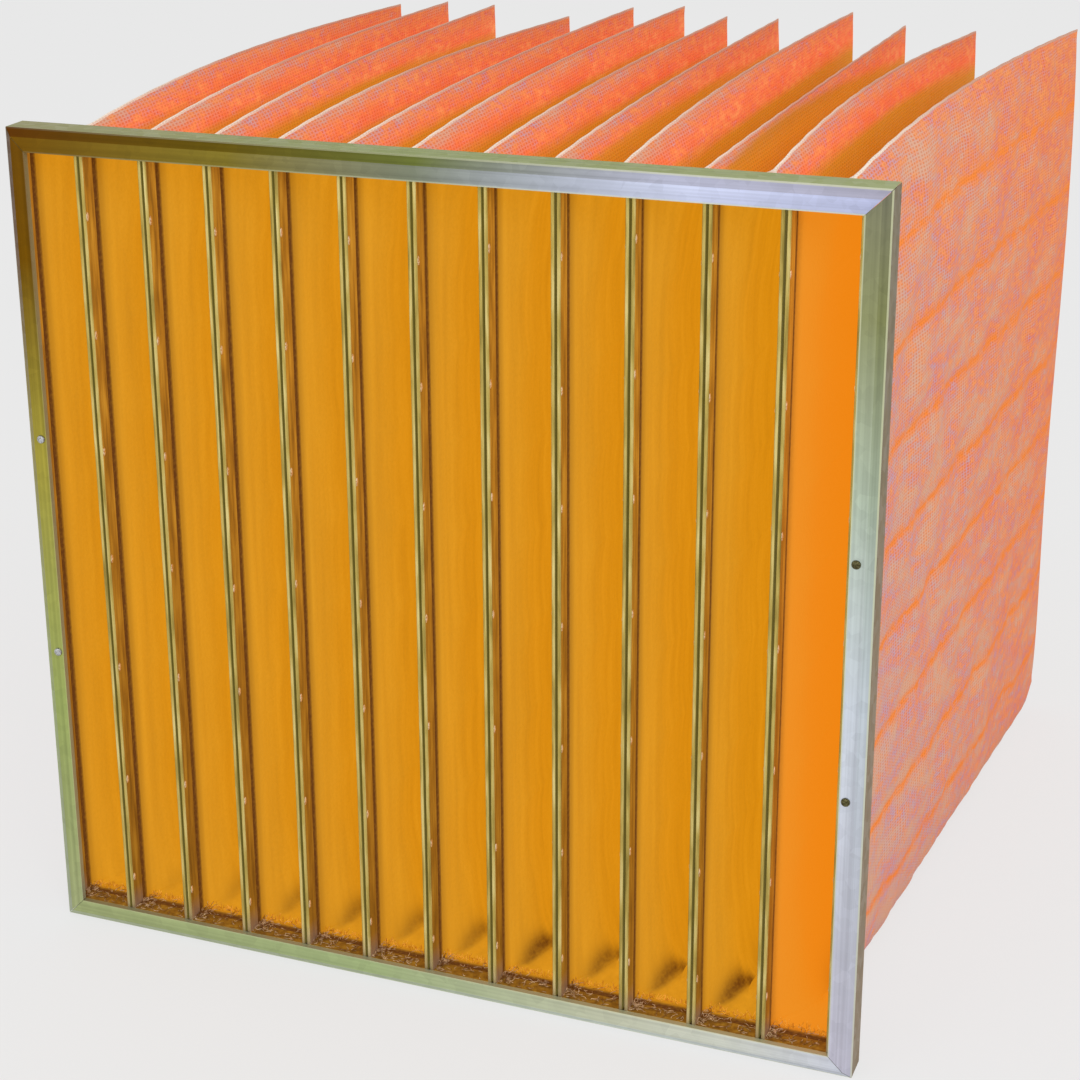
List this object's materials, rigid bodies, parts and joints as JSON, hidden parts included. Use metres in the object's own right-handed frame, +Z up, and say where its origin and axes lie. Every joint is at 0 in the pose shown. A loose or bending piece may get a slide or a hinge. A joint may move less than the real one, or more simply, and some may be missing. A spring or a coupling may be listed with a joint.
{
  "type": "bag air filter",
  "caption": "Square galvanised header frame with a row of folded pocket mouth frames, each holding a sewn wedge-shaped glass fibre bag that tapers to a rear seam.",
  "frame": {"origin": "on the underside of the header's bottom rail, at the middle of its length and half way through the header's depth", "axes": "+Z up, +Y the way the air flows, from the header's open front to the rear seams of the pockets, +X to the right seen from the front"},
  "size_m": [0.6048, 0.6267, 0.6003],
  "materials": {
    "galvanised_header": "galvanised, satin",
    "galvanised_mouth": "galvanised, satin",
    "glass_fibre_media": "matt fibre mat with a fine scrim",
    "rivet_steel": "satin"
  },
  "bodies": {
    "root": {"top_rail": "galvanised_header", "right_rail": "galvanised_header", "bottom_rail": "galvanised_header", "left_rail": "galvanised_header", "rivet_left_lower": "rivet_steel", "rivet_left_upper": "rivet_steel", "rivet_right_lower": "rivet_steel", "rivet_right_upper": "rivet_steel", "pocket_frame_01": "galvanised_mouth", "pocket_frame_02": "galvanised_mouth", "pocket_frame_03": "galvanised_mouth", "pocket_frame_04": "galvanised_mouth", "pocket_frame_05": "galvanised_mouth", "pocket_frame_06": "galvanised_mouth", "pocket_frame_07": "galvanised_mouth", "pocket_frame_08": "galvanised_mouth", "pocket_frame_09": "galvanised_mouth", "pocket_frame_10": "galvanised_mouth", "pocket_frame_11": "galvanised_mouth", "pocket_frame_12": "galvanised_mouth", "filter_bag_01": "glass_fibre_media", "filter_bag_02": "glass_fibre_media", "filter_bag_03": "glass_fibre_media", "filter_bag_04": "glass_fibre_media", "filter_bag_05": "glass_fibre_media", "filter_bag_06": "glass_fibre_media", "filter_bag_07": "glass_fibre_media", "filter_bag_08": "glass_fibre_media", "filter_bag_09": "glass_fibre_media", "filter_bag_10": "glass_fibre_media", "filter_bag_11": "glass_fibre_media", "filter_bag_12": "glass_fibre_media"}
  },
  "joints": []
}
